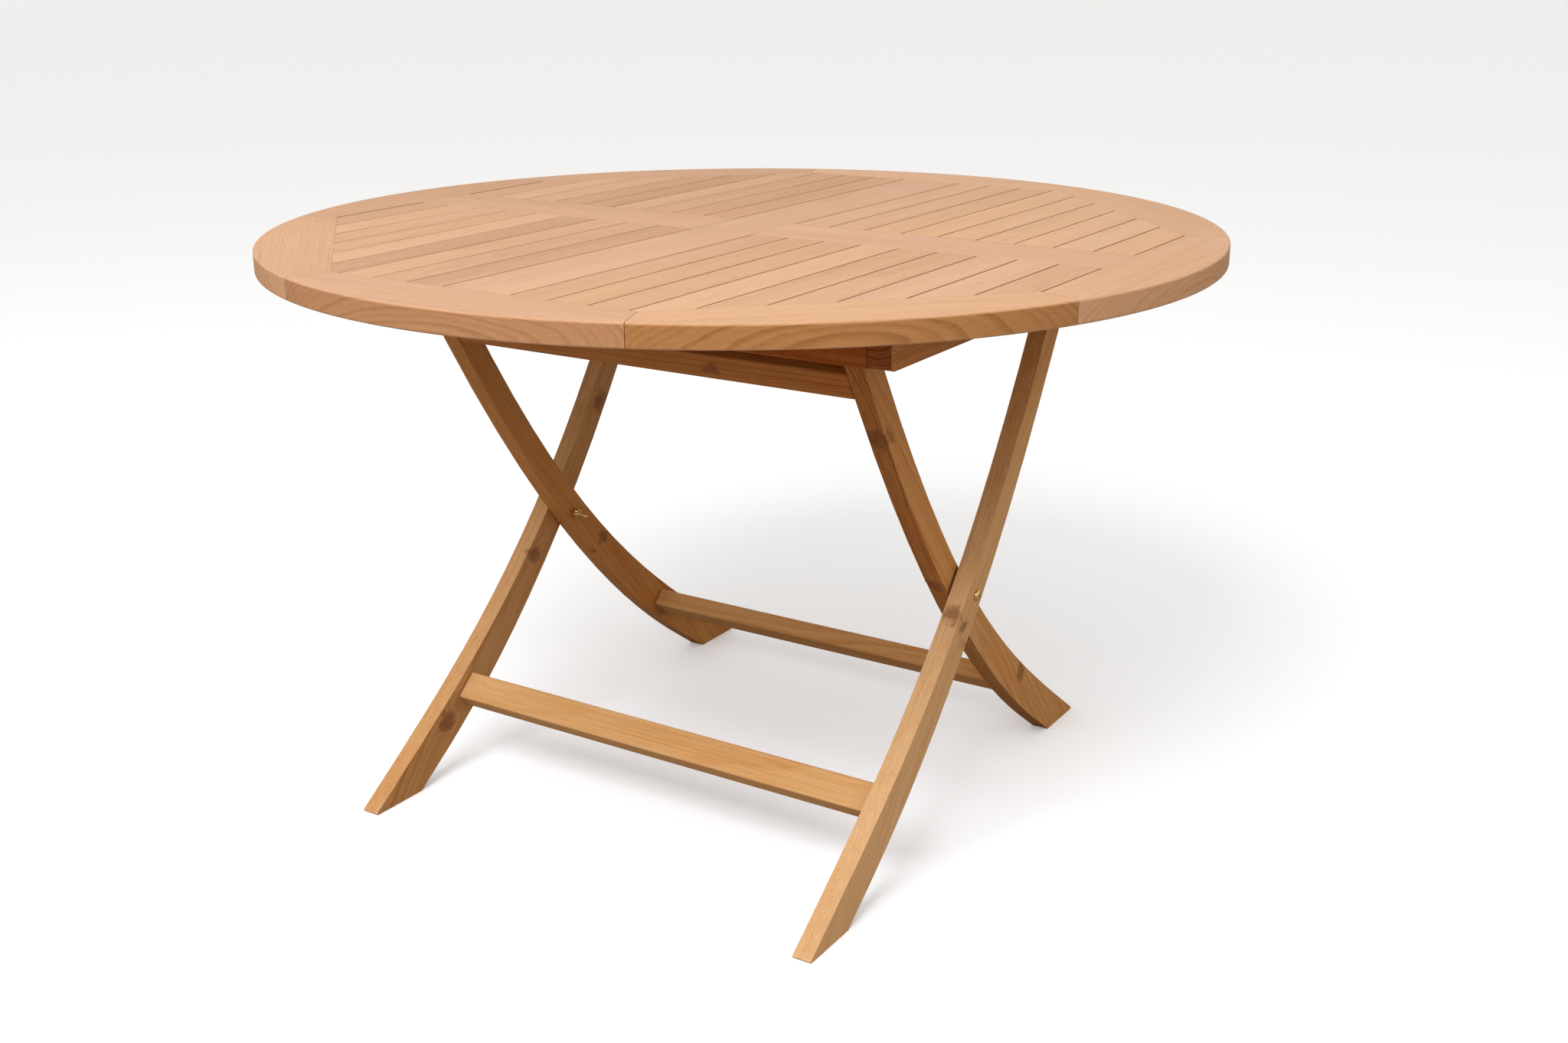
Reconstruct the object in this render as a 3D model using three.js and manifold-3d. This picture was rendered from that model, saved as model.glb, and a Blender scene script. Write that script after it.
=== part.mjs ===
// Round folding picnic table in oiled hardwood.
//
// Units are millimetres and +Z is up. The origin lies on the floor under the centre of the round top.
// X runs along the pivot bolts, Y along the slats. Two curved leg frames cross at the pivot bolts:
// the outer frame is bolted to the battens under the far side (+Y) of the top, and the tops of the
// inner frame's legs stand behind the near bar under the near side (-Y).

import * as THREE from 'three';
import { mergeVertices } from 'three/addons/utils/BufferGeometryUtils.js';
import Module from 'manifold-3d';

const wasm = await Module();
wasm.setup();

// ---- driving dimensions ------------------------------------------------------------------------

const gap = 0.3;                     // left between pieces that touch

// table top
const topRadius = 600;
const topHeight = 743;
const topThickness = 26.4;
const longRailWidth = 89.2;          // middle rail along Y
const crossRailWidth = 95.4;         // rail along X, in two halves
const slatsPerQuadrant = 9;
const slatPitch = 50.92;
const grooveWidth = 3;

// bars under the top
const battenThickness = 29;
const barDepth = 59;
const barHalfLength = 290;           // near and far ends of the battens, along Y
const nearBarThickness = 22;
const battenEndRadius = 8;

// leg frames
const frameThickness = 24.5;         // the legs' boards
const outerLegFace = 345;            // outer face of the outer legs, along X
const innerLegFace = 316.3;          // outer face of the inner legs
const frameOffset = -7;              // the frames mirror each other about this Y
const pivotHeight = 313;
const hingeHeight = 690;
const hingeReach = 242.9;            // from the frames' mirror plane to the top hinge
const legTopWidth = 35.3;
const legTopAngle = THREE.MathUtils.degToRad(61.5);
const toeReach = 399;                // the two ends of the foot, at floor level
const heelReach = 312;
const toeRadius = 9;

// rails between the legs
const topRailWidth = 38;
const topRailThickness = 22;
const outerRailHeight = 615;         // lower edge of a top rail's face on the near side
const innerRailHeight = 602;
const outerRailReach = 180;          // its distance from the mirror plane on each frame
const innerRailReach = 213.5;
const topRailAngle = THREE.MathUtils.degToRad(60);
const stretcherWidth = 39;
const stretcherThickness = 26;
const stretcherReach = -206.5;       // middle of the low stretcher's section
const stretcherHeight = 111;
const stretcherAngle = THREE.MathUtils.degToRad(41);

// brass hardware
const shankRadius = 4;
const boreRadius = 4.3;
const boltHeadRadius = 7;
const boltHeadHeight = 4.5;
const boltHeadRim = 0.8;
const pivotBoltTail = 12;            // length of thread past the inner leg
const wingNutRadius = 6.5;
const wingNutHeight = 9;
const wingSpan = 15;
const wingRise = 15;
const wingThickness = 3;
const rightNutTurn = THREE.MathUtils.degToRad(-50);   // how far each nut is turned from level
const leftNutTurn = THREE.MathUtils.degToRad(-33);

// ---- values worked out from them ---------------------------------------------------------------

const topUnderside = topHeight - topThickness;
const longRailHalf = longRailWidth / 2;
const crossRailHalf = crossRailWidth / 2;
const octagonApothem = longRailHalf + slatsPerQuadrant * slatPitch + grooveWidth;
const octagonHalfSide = octagonApothem * Math.tan(Math.PI / 8);
const barUnderside = topUnderside - barDepth;
const battenInnerFace = outerLegFace + gap;
const battenOuterFace = battenInnerFace + battenThickness;
const hingeY = frameOffset + hingeReach;

// ---- materials ---------------------------------------------------------------------------------

function finish(color, roughness, metalness) {
  return () => new THREE.MeshStandardMaterial({ color, roughness, metalness });
}

const topWood = finish(0xdcae88, 0.6, 0);
const rimWood = finish(0xc1905f, 0.6, 0);
const frameWood = finish(0x9a6236, 0.6, 0);
const underWood = finish(0x7a4a28, 0.65, 0);
const brass = finish(0xb98b3e, 0.35, 1);

// ---- helpers -----------------------------------------------------------------------------------

const table = new THREE.Group();

function addMesh(parent, name, geometry, material) {
  const mesh = new THREE.Mesh(geometry, material());
  mesh.name = name;
  parent.add(mesh);
  return mesh;
}

function outline(points) {
  return new THREE.Shape(points.map(([x, y]) => new THREE.Vector2(x, y)));
}

// A board seen from above, lying in the table top.
function topBoard(name, shape, material) {
  const geometry = new THREE.ExtrudeGeometry(shape, {
    depth: topThickness,
    bevelEnabled: false,
    curveSegments: 24,
  });
  const mesh = addMesh(table, name, geometry, material);
  mesh.position.z = topUnderside;
}

// A board seen from the side: the shape's x is Y, its y is Z, and it is as long as asked along X.
const sideBasis = new THREE.Matrix4().makeBasis(
  new THREE.Vector3(0, 1, 0),
  new THREE.Vector3(0, 0, 1),
  new THREE.Vector3(1, 0, 0),
);

function sideBoard(parent, name, shape, xStart, length, material) {
  const geometry = new THREE.ExtrudeGeometry(shape, {
    depth: length,
    bevelEnabled: false,
    curveSegments: 18,
  });
  geometry.applyMatrix4(sideBasis);
  const mesh = addMesh(parent, name, geometry, material);
  mesh.position.x = xStart;
}

function boreAt(shape, x, y) {
  const hole = new THREE.Path();
  hole.absarc(x, y, boreRadius, 0, 2 * Math.PI, true);
  shape.holes.push(hole);
}

function toManifold(geometry) {
  const bare = geometry.clone();
  bare.deleteAttribute('normal');
  bare.deleteAttribute('uv');
  const merged = mergeVertices(bare, 1e-4);
  return new wasm.Manifold(new wasm.Mesh({
    numProp: 3,
    vertProperties: new Float32Array(merged.attributes.position.array),
    triVerts: new Uint32Array(merged.index.array),
  }));
}

function fromManifold(solid) {
  const { vertProperties, triVerts } = solid.getMesh();
  const geometry = new THREE.BufferGeometry();
  geometry.setAttribute('position', new THREE.BufferAttribute(new Float32Array(vertProperties), 3));
  geometry.setIndex(new THREE.BufferAttribute(new Uint32Array(triVerts), 1));
  geometry.computeVertexNormals();
  return geometry;
}

// ---- table top: long rail, cross rail, slats and ring ------------------------------------------

const railEnd = octagonApothem - gap;
topBoard('long_rail', outline([
  [-longRailHalf, -railEnd], [longRailHalf, -railEnd],
  [longRailHalf, railEnd], [-longRailHalf, railEnd],
]), topWood);

for (const [side, sign] of [['right', 1], ['left', -1]]) {
  const near = sign * (longRailHalf + gap);
  const far = sign * railEnd;
  const x0 = Math.min(near, far);
  const x1 = Math.max(near, far);
  topBoard(`cross_rail_${side}`, outline([
    [x0, -crossRailHalf], [x1, -crossRailHalf],
    [x1, crossRailHalf], [x0, crossRailHalf],
  ]), topWood);
}

// The slats' outer ends follow the octagon inside the ring.
function octagonReach(x) {
  return Math.min(octagonApothem, octagonApothem * Math.SQRT2 - x) - gap;
}

function slatOutline(index, signX, signY) {
  const x0 = longRailHalf + grooveWidth + index * slatPitch;
  const x1 = x0 + slatPitch - grooveWidth;
  const y0 = crossRailHalf + gap;
  const points = [[x0, y0], [x1, y0], [x1, octagonReach(x1)]];
  const corner = octagonHalfSide;
  if (x0 < corner && corner < x1) {
    points.push([corner, octagonReach(corner)]);
  }
  points.push([x0, octagonReach(x0)]);
  return outline(points.map(([x, y]) => [signX * x, signY * y]));
}

for (const [side, signX] of [['right', 1], ['left', -1]]) {
  for (const [depth, signY] of [['near', -1], ['far', 1]]) {
    for (let index = 0; index < slatsPerQuadrant; index += 1) {
      topBoard(`slat_${side}_${depth}_${index + 1}`, slatOutline(index, signX, signY), topWood);
    }
  }
}

// Each quarter of the ring is two mitred boards glued end to end.
const segmentAngle = Math.PI / 4;
const cornerRadius = octagonApothem / Math.cos(segmentAngle / 2);

function ringQuarter(name, firstJoint) {
  const trim = gap / 2 / topRadius;
  const start = firstJoint + trim;
  const end = firstJoint + 2 * segmentAngle - trim;
  const innerTrim = gap / 2 / cornerRadius;
  const shape = new THREE.Shape();
  shape.absarc(0, 0, topRadius, start, end, false);
  for (const angle of [end + trim - innerTrim, firstJoint + segmentAngle, start - trim + innerTrim]) {
    shape.lineTo(cornerRadius * Math.cos(angle), cornerRadius * Math.sin(angle));
  }
  topBoard(name, shape, rimWood);
}

for (const [index, side] of ['right', 'far', 'left', 'near'].entries()) {
  ringQuarter(`ring_${side}`, (2 * index - 0.5) * segmentAngle);
}

// ---- battens and near bar under the top --------------------------------------------------------

function battenShape() {
  const bottom = barUnderside;
  const top = topUnderside - gap;
  const r = battenEndRadius;
  const shape = new THREE.Shape();
  shape.moveTo(-barHalfLength, top);
  shape.lineTo(-barHalfLength, bottom + r);
  shape.absarc(-barHalfLength + r, bottom + r, r, Math.PI, 1.5 * Math.PI, false);
  shape.absarc(barHalfLength - r, bottom + r, r, -0.5 * Math.PI, 0, false);
  shape.lineTo(barHalfLength, top);
  boreAt(shape, hingeY, hingeHeight);
  return shape;
}

sideBoard(table, 'batten_right', battenShape(), battenInnerFace, battenThickness, underWood);
sideBoard(table, 'batten_left', battenShape(), -battenOuterFace, battenThickness, underWood);

const nearBarShape = outline([
  [-barHalfLength, barUnderside], [-barHalfLength + nearBarThickness, barUnderside],
  [-barHalfLength + nearBarThickness, topUnderside - gap], [-barHalfLength, topUnderside - gap],
]);
sideBoard(table, 'near_bar', nearBarShape, -outerLegFace, 2 * outerLegFace, underWood);

// ---- leg frames --------------------------------------------------------------------------------
// A frame is drawn with its foot towards -Y and its top towards +Y, about its own mirror plane.
// The inner frame is the same turned half round.

const legHalf = legTopWidth / 2;
const acrossLeg = new THREE.Vector2(Math.sin(legTopAngle), -Math.cos(legTopAngle));
const hingePoint = new THREE.Vector2(hingeReach, hingeHeight);
const lowerShoulder = hingePoint.clone().addScaledVector(acrossLeg, legHalf);
const upperShoulder = hingePoint.clone().addScaledVector(acrossLeg, -legHalf);

function legShape(topOfLeg) {
  const shape = new THREE.Shape();
  shape.moveTo(-toeReach + toeRadius, 0);
  shape.lineTo(-heelReach, 0);
  shape.bezierCurveTo(-257, 43.5, -10.5, 180, lowerShoulder.x, lowerShoulder.y);
  topOfLeg(shape);
  shape.bezierCurveTo(-1.5, 273, -187.5, 152, -toeReach + 0.7 * toeRadius, 0.5 * toeRadius);
  shape.quadraticCurveTo(-toeReach, 0, -toeReach + toeRadius, 0);
  boreAt(shape, 0, pivotHeight);
  return shape;
}

function roundTop(shape) {
  shape.absarc(hingePoint.x, hingePoint.y, legHalf,
    legTopAngle - Math.PI / 2, legTopAngle + Math.PI / 2, false);
  boreAt(shape, hingePoint.x, hingePoint.y);
}

// The inner legs' tops are cut flat under the slats and upright behind the near bar.
function squareTop(shape) {
  const slope = Math.tan(legTopAngle);
  const bearing = topUnderside - gap;
  const barFace = barHalfLength - nearBarThickness + frameOffset - gap;
  shape.lineTo(barFace, lowerShoulder.y + (barFace - lowerShoulder.x) * slope);
  shape.lineTo(barFace, bearing);
  shape.lineTo(upperShoulder.x + (bearing - upperShoulder.y) / slope, bearing);
  shape.lineTo(upperShoulder.x, upperShoulder.y);
}

// A rail's section: a rectangle that starts at a corner and is turned by an angle.
function railShape(cornerX, cornerY, width, thickness, angle, side) {
  const along = [Math.cos(angle), Math.sin(angle)];
  const across = [side * Math.sin(angle), -side * Math.cos(angle)];
  const corner = (a, b) => [
    cornerX + a * along[0] + b * across[0],
    cornerY + a * along[1] + b * across[1],
  ];
  return outline([corner(0, 0), corner(width, 0), corner(width, thickness), corner(0, thickness)]);
}

function stretcherShape() {
  const cos = Math.cos(stretcherAngle);
  const sin = Math.sin(stretcherAngle);
  const cornerX = stretcherReach - (stretcherWidth / 2) * cos - (stretcherThickness / 2) * sin;
  const cornerY = stretcherHeight - (stretcherWidth / 2) * sin + (stretcherThickness / 2) * cos;
  return railShape(cornerX, cornerY, stretcherWidth, stretcherThickness, stretcherAngle, 1);
}

function legFrame(prefix, sideNames, legFace, topOfLeg, topRailSection) {
  const frame = new THREE.Group();
  const inside = legFace - frameThickness;
  const railLength = 2 * (inside - gap);
  const railStart = -inside + gap;
  sideBoard(frame, `${prefix}_leg_${sideNames[0]}`, legShape(topOfLeg), inside, frameThickness, frameWood);
  sideBoard(frame, `${prefix}_leg_${sideNames[1]}`, legShape(topOfLeg), -legFace, frameThickness, frameWood);
  sideBoard(frame, `${prefix}_top_rail`, topRailSection, railStart, railLength, frameWood);
  sideBoard(frame, `${prefix}_stretcher`, stretcherShape(), railStart, railLength, frameWood);
  frame.position.y = frameOffset;
  table.add(frame);
  return frame;
}

// Both top rails lie flush with the legs' faces on the near side of the table.
legFrame('outer', ['right', 'left'], outerLegFace, roundTop,
  railShape(outerRailReach, outerRailHeight, topRailWidth, topRailThickness, topRailAngle, 1));

const innerFrame = legFrame('inner', ['left', 'right'], innerLegFace, squareTop,
  railShape(innerRailReach, innerRailHeight, topRailWidth, topRailThickness, topRailAngle, -1));
innerFrame.rotation.z = Math.PI;

// ---- brass bolts and wing nuts -----------------------------------------------------------------
// Lathe shapes are turned about the bolt's own Y, from the domed head down to the tip.

function boltGeometry(shankLength) {
  const domeSteps = 5;
  const profile = [[0, -shankLength], [shankRadius, -shankLength], [shankRadius, 0], [boltHeadRadius, 0]];
  for (let step = 0; step <= domeSteps; step += 1) {
    const angle = (step / domeSteps) * (Math.PI / 2);
    const height = boltHeadRim + (boltHeadHeight - boltHeadRim) * Math.sin(angle);
    profile.push([step === domeSteps ? 0 : boltHeadRadius * Math.cos(angle), height]);
  }
  return new THREE.LatheGeometry(profile.map(([x, y]) => new THREE.Vector2(x, y)), 20);
}

function addBolt(name, sign, seat, shankLength, y, z) {
  const mesh = addMesh(table, name, boltGeometry(shankLength), brass);
  mesh.rotation.z = -sign * Math.PI / 2;
  mesh.position.set(sign * (seat + gap), y, z);
}

function wingNutGeometry() {
  const hub = new THREE.LatheGeometry([
    new THREE.Vector2(boreRadius, 0),
    new THREE.Vector2(wingNutRadius, 0),
    new THREE.Vector2(wingNutRadius - 1, wingNutHeight),
    new THREE.Vector2(boreRadius, wingNutHeight),
    new THREE.Vector2(boreRadius, 0),
  ], 20);
  let solid = toManifold(hub);
  for (const sign of [1, -1]) {
    const ear = new THREE.Shape();
    ear.moveTo(sign * (boreRadius + 0.6), 1.5);
    ear.lineTo(sign * (wingNutRadius + 1), 1.5);
    ear.quadraticCurveTo(sign * (wingSpan - 2), 5, sign * wingSpan, wingRise - 4);
    ear.quadraticCurveTo(sign * wingSpan, wingRise, sign * (wingSpan - 4), wingRise);
    ear.quadraticCurveTo(sign * (boreRadius + 3), wingNutHeight + 2,
      sign * (boreRadius + 0.6), wingNutHeight - 1);
    const plate = new THREE.ExtrudeGeometry(ear, {
      depth: wingThickness,
      bevelEnabled: false,
      curveSegments: 6,
    });
    plate.translate(0, 0, -wingThickness / 2);
    solid = solid.add(toManifold(plate));
  }
  return fromManifold(solid);
}

const innerLegInside = innerLegFace - frameThickness;
const outerLegInside = outerLegFace - frameThickness;
const pivotShank = outerLegFace - innerLegInside + pivotBoltTail;
const hingeShank = battenOuterFace - outerLegInside - 1;

for (const [side, sign, nutTurn] of [['right', 1, rightNutTurn], ['left', -1, leftNutTurn]]) {
  addBolt(`pivot_bolt_${side}`, sign, outerLegFace, pivotShank, frameOffset, pivotHeight);
  addBolt(`hinge_bolt_${side}`, sign, battenOuterFace, hingeShank, hingeY, hingeHeight);
  const nut = addMesh(table, `wing_nut_${side}`, wingNutGeometry(), brass);
  nut.rotation.set(nutTurn, 0, sign * Math.PI / 2, 'XYZ');
  nut.position.set(sign * (innerLegInside - gap), frameOffset, pivotHeight);
}

export default table;
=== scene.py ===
"""Round folding picnic table in oiled hardwood, with brass bolts and wing nuts.

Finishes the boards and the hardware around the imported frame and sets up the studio.
All sizes are in metres. +X runs along the pivot bolts, +Y along the slats, +Z is up.
"""

import math
import random

import bmesh
import bpy
from mathutils import Matrix, Vector


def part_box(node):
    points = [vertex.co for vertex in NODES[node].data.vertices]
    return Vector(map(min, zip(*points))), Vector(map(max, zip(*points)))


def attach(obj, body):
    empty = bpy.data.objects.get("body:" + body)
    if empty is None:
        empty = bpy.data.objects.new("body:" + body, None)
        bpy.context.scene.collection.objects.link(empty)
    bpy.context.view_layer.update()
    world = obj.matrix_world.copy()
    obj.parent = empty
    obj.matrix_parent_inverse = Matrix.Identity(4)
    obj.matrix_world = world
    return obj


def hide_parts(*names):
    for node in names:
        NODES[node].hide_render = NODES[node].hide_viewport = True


bl_info = {
    "name": "Round Folding Picnic Table",
    "version": (1, 0, 0),
    "blender": (4, 5, 0),
    "location": "3D Viewport > Sidebar > Picnic Table",
    "description": "Builds the boards, brass hardware and studio of a round folding picnic table",
    "category": "Object",
}

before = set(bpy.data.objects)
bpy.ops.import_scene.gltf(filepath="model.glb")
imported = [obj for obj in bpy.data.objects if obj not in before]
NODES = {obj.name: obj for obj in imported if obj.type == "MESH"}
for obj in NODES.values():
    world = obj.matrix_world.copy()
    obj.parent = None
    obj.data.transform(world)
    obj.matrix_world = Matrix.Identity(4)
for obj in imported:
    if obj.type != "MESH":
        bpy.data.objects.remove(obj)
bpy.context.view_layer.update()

TOP_LOW, TOP_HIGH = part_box("long_rail")
CROSS_LOW, CROSS_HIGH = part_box("cross_rail_right")
SLAT_LOW, SLAT_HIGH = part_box("slat_right_near_1")
RING_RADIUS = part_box("ring_right")[1].x
SLATS_PER_QUADRANT = sum(name.startswith("slat_right_near_") for name in NODES)
SLAT_WIDTH = SLAT_HIGH.x - SLAT_LOW.x
JOINT = CROSS_LOW.x - TOP_HIGH.x
GROOVE = SLAT_LOW.x - TOP_HIGH.x
APOTHEM = TOP_HIGH.y + JOINT

SEED = 7
BOARD_SEEDS = random.Random(SEED)


# ---- settings ------------------------------------------------------------------------------------


class BoardSettings(bpy.types.PropertyGroup):
    """Sizes of the arrises and the spacing of the slats."""

    slats: bpy.props.IntProperty(
        name="Slats per Quadrant", description="Slats in each quarter of the top",
        default=SLATS_PER_QUADRANT, min=1)
    groove: bpy.props.FloatProperty(
        name="Groove", description="Open width between two slats",
        default=GROOVE, unit="LENGTH")
    slat_round: bpy.props.FloatProperty(
        name="Slat Arris", description="Rounding of the slats' long edges",
        default=0.0007, unit="LENGTH")
    rim_round: bpy.props.FloatProperty(
        name="Rim Arris", description="Rounding of the round edge of the top",
        default=0.0028, unit="LENGTH")
    frame_round: bpy.props.FloatProperty(
        name="Frame Arris", description="Rounding of the legs, rails and battens",
        default=0.0022, unit="LENGTH")


class WoodSettings(bpy.types.PropertyGroup):
    """Colours and figure of the oiled hardwood."""

    top_light: bpy.props.FloatVectorProperty(
        name="Top, Light", description="Early wood of the slats and the ring", subtype="COLOR",
        default=(0.600, 0.378, 0.250), min=0, max=1)
    top_dark: bpy.props.FloatVectorProperty(
        name="Top, Dark", description="Late wood of the slats and the ring", subtype="COLOR",
        default=(0.385, 0.208, 0.115), min=0, max=1)
    frame_light: bpy.props.FloatVectorProperty(
        name="Frame, Light", description="Early wood of the legs and bars", subtype="COLOR",
        default=(0.623, 0.412, 0.225), min=0, max=1)
    frame_mid: bpy.props.FloatVectorProperty(
        name="Frame, Middle", description="Between early and late wood of the legs and bars",
        subtype="COLOR", default=(0.475, 0.232, 0.076), min=0, max=1)
    frame_dark: bpy.props.FloatVectorProperty(
        name="Frame, Dark", description="Late wood of the legs and bars", subtype="COLOR",
        default=(0.290, 0.070, 0.004), min=0, max=1)
    ring_pitch: bpy.props.FloatProperty(
        name="Growth Ring", description="Thickness of one year's growth",
        default=0.0042, unit="LENGTH")
    roughness: bpy.props.FloatProperty(
        name="Roughness", description="Roughness of the oiled face",
        default=0.52, min=0, max=1, subtype="FACTOR")


class BrassSettings(bpy.types.PropertyGroup):
    """Bolts, washers, wing nuts and screws."""

    color: bpy.props.FloatVectorProperty(
        name="Brass", description="Colour of clean brass", subtype="COLOR",
        default=(0.760, 0.520, 0.210), min=0, max=1)
    thread_pitch: bpy.props.FloatProperty(
        name="Thread Pitch", description="Rise of the bolts' thread",
        default=0.00125, unit="LENGTH")
    washer_radius: bpy.props.FloatProperty(
        name="Washer Radius", description="Radius of the washers between the legs",
        default=0.011, unit="LENGTH")
    screw_radius: bpy.props.FloatProperty(
        name="Screw Head Radius", description="Radius of the countersunk screw heads",
        default=0.0042, unit="LENGTH")


class StudioSettings(bpy.types.PropertyGroup):
    """Camera, floor and lights."""

    azimuth: bpy.props.FloatProperty(
        name="Azimuth", description="Turn of the camera round the table",
        default=math.radians(32.294), subtype="ANGLE")
    elevation: bpy.props.FloatProperty(
        name="Elevation", description="Height of the camera's line of sight",
        default=math.radians(18.324), subtype="ANGLE")
    roll: bpy.props.FloatProperty(
        name="Roll", description="Tilt of the camera about its line of sight",
        default=math.radians(-0.2485), subtype="ANGLE")
    position: bpy.props.FloatVectorProperty(
        name="Position", description="Place of the camera", subtype="TRANSLATION",
        default=(1.22881, -1.85263, 1.08390), unit="LENGTH")
    lens: bpy.props.FloatProperty(
        name="Lens", description="Focal length in millimetres on a 36 mm sensor", default=40.104)
    floor_color: bpy.props.FloatVectorProperty(
        name="Floor", description="Colour of the floor", subtype="COLOR",
        default=(0.90, 0.94, 1.00), min=0, max=1)
    floor_glow: bpy.props.FloatProperty(
        name="Floor Glow", description="Light added where the floor is seen, for a faint shadow",
        default=0.16, min=0)
    bounce: bpy.props.FloatVectorProperty(
        name="Floor Bounce", description="Colour of the light the floor sends back up",
        subtype="COLOR", default=(0.32, 0.275, 0.225), min=0, max=1)
    sky_color: bpy.props.FloatVectorProperty(
        name="Surround Colour", description="Colour of the light from all round", subtype="COLOR",
        default=(1.0, 0.95, 0.88), min=0, max=1)
    sky: bpy.props.FloatProperty(
        name="Surround", description="Strength of the light from all round", default=0.78, min=0)
    overhead: bpy.props.FloatProperty(
        name="Overhead Light", description="Power of the soft light above the near side",
        default=130.0, unit="POWER")
    side: bpy.props.FloatProperty(
        name="Side Light", description="Power of the soft light on the right", default=17.0,
        unit="POWER")


SETTINGS = {
    "picnic_boards": BoardSettings,
    "picnic_wood": WoodSettings,
    "picnic_brass": BrassSettings,
    "picnic_studio": StudioSettings,
}


# ---- node trees ----------------------------------------------------------------------------------


class Value:
    """A socket that can be used in sums; each sum adds its Math node."""

    def __init__(self, graph, socket):
        self.graph = graph
        self.socket = socket

    def __add__(self, other):
        return self.graph.math("ADD", self, other)

    def __sub__(self, other):
        return self.graph.math("SUBTRACT", self, other)

    def __rsub__(self, other):
        return self.graph.math("SUBTRACT", other, self)

    def __mul__(self, other):
        return self.graph.math("MULTIPLY", self, other)

    def __truediv__(self, other):
        return self.graph.math("DIVIDE", self, other)

    __radd__ = __add__
    __rmul__ = __mul__


class Graph:
    """A shader or geometry tree that is being drawn up."""

    def __init__(self, tree):
        self.tree = tree

    def node(self, kind, settings=None, inputs=None, output=0):
        """Adds a node, sets its settings, then its inputs, and returns one of its outputs."""
        node = self.tree.nodes.new(kind)
        for name, value in (settings or {}).items():
            if name == "stops":
                ramp = node.color_ramp
                while len(ramp.elements) < len(value):
                    ramp.elements.new(1.0)
                for element, (position, shade) in zip(ramp.elements, value):
                    element.position = position
                    element.color = shade
            else:
                setattr(node, name, value)
        for key, value in (inputs or {}).items():
            self.feed(self.find(node.inputs, key), value)
        return Value(self, self.find(node.outputs, output))

    @staticmethod
    def find(sockets, key):
        """A socket by its number, or the one in use among those of one name."""
        if isinstance(key, int):
            return sockets[key]
        return next(socket for socket in sockets if socket.name == key and socket.enabled)

    def feed(self, socket, value):
        if isinstance(value, Value):
            self.tree.links.new(value.socket, socket)
        else:
            socket.default_value = value

    def math(self, operation, *values):
        return self.node("ShaderNodeMath", {"operation": operation}, dict(enumerate(values)))

    def vector_math(self, operation, *values, output=0):
        return self.node("ShaderNodeVectorMath", {"operation": operation},
                         dict(enumerate(values)), output)

    def split(self, vector):
        node = self.tree.nodes.new("ShaderNodeSeparateXYZ")
        self.feed(node.inputs[0], vector)
        return [Value(self, socket) for socket in node.outputs]

    def join(self, x, y, z):
        return self.node("ShaderNodeCombineXYZ", inputs={0: x, 1: y, 2: z})

    def mix(self, factor, a, b, blend="MIX"):
        return self.node("ShaderNodeMix", {"data_type": "RGBA", "blend_type": blend},
                         {"Factor": factor, "A": a, "B": b}, "Result")

    def smooth(self, value, low, high):
        """0 below low, 1 above high and an S curve between them."""
        return self.node("ShaderNodeMapRange", {"interpolation_type": "SMOOTHSTEP"},
                         {"Value": value, "From Min": low, "From Max": high})

    def noise(self, vector, scale, detail=2.0, roughness=0.5):
        """Noise around 0, at so many blots per metre along each axis."""
        stretched = self.vector_math("MULTIPLY", vector, scale)
        return self.node("ShaderNodeTexNoise", inputs={
            "Vector": stretched, "Scale": 1.0, "Detail": detail, "Roughness": roughness,
        }, output="Fac") - 0.5


def rgba(color):
    return (*color, 1.0)


def new_material(name):
    """A material with an empty tree but for its Principled shader, as (material, graph, shader)."""
    material = bpy.data.materials.new(name)
    material.use_nodes = True
    graph = Graph(material.node_tree)
    return material, graph, material.node_tree.nodes["Principled BSDF"]


def start_tree(name, inputs):
    """A geometry tree with named inputs, as (tree, graph, the value of each input)."""
    tree = bpy.data.node_groups.new(name, "GeometryNodeTree")
    for label, kind in inputs:
        tree.interface.new_socket(name=label, in_out="INPUT", socket_type="NodeSocket" + kind)
    tree.interface.new_socket(name="Geometry", in_out="OUTPUT", socket_type="NodeSocketGeometry")
    graph = Graph(tree)
    given = tree.nodes.new("NodeGroupInput")
    return tree, graph, {label: Value(graph, given.outputs[label]) for label, _ in inputs}


def end_tree(graph, solid, material):
    """Sets the material of the realized solid and puts it out."""
    solid = graph.node("GeometryNodeSetMaterial", inputs={"Geometry": solid, "Material": material})
    graph.feed(graph.tree.nodes.new("NodeGroupOutput").inputs[0], solid)


# ---- finishes ------------------------------------------------------------------------------------

# Knots: where they sit on the frames at rest, and how large they are.
KNOTS = (
    ((0.304, -0.188, 0.555), 0.016),
    ((0.304, -0.039, 0.325), 0.012),
    ((0.333, -0.056, 0.304), 0.015),
    ((0.333, -0.041, 0.260), 0.014),
    ((0.345, -0.042, 0.283), 0.009),
    ((0.316, 0.201, 0.128), 0.014),
    ((-0.320, 0.096, 0.451), 0.014),
    ((-0.320, -0.065, 0.263), 0.014),
    ((-0.320, -0.263, 0.079), 0.016),
    ((-0.292, 0.057, 0.257), 0.011),
    ((-0.292, 0.027, 0.241), 0.010),
    ((0.103, -0.230, 0.615), 0.011),
)
KNOT_BLOTS = 85.0                # blots per metre that ruffle the edge of a knot
KNOT_RUFFLE = 0.028              # how far they shift it
KNOT_BEND = 0.008                # how far the growth rings bend round a knot
KNOT_COLOR = (0.175, 0.060, 0.018, 1.0)
SWAY = 0.046                     # slow wander of the growth rings along a board
RIPPLE = 0.004                   # small waves in them
COOL_TINT = (1.0, 0.955, 0.93, 1.0)
WARM_TINT = (1.05, 1.0, 0.86, 1.0)
PORE_TINT = (0.55, 0.45, 0.36, 1.0)
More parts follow.
